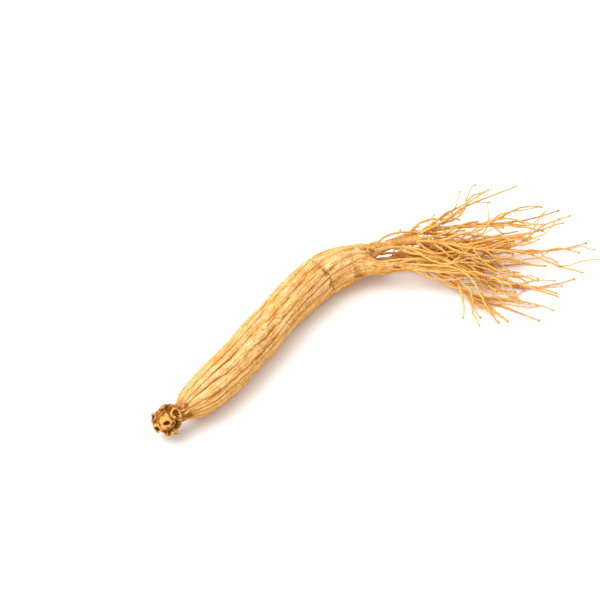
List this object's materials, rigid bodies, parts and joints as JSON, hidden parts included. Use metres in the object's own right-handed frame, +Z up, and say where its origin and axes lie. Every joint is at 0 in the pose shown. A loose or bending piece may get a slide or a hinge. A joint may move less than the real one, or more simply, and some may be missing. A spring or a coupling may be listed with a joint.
{
  "type": "ginseng root",
  "caption": "Dried ginseng root lying on its side: a knobbly crown with hollow stem scars, a plump furrowed body, and legs that divide into a spray of fine rootlets.",
  "frame": {"origin": "on the table, under the middle of the root's own box", "axes": "+Z up from the table, +X along the root's longest extent, from the crown towards the rootlets"},
  "size_m": [0.214, 0.0748, 0.0184],
  "materials": {
    "dried_skin": "dry matt skin, pale cream on its ridges and orange brown in its furrows, browner at the crown"
  },
  "bodies": {
    "root": {"ginseng_root": "dried_skin"}
  },
  "joints": []
}
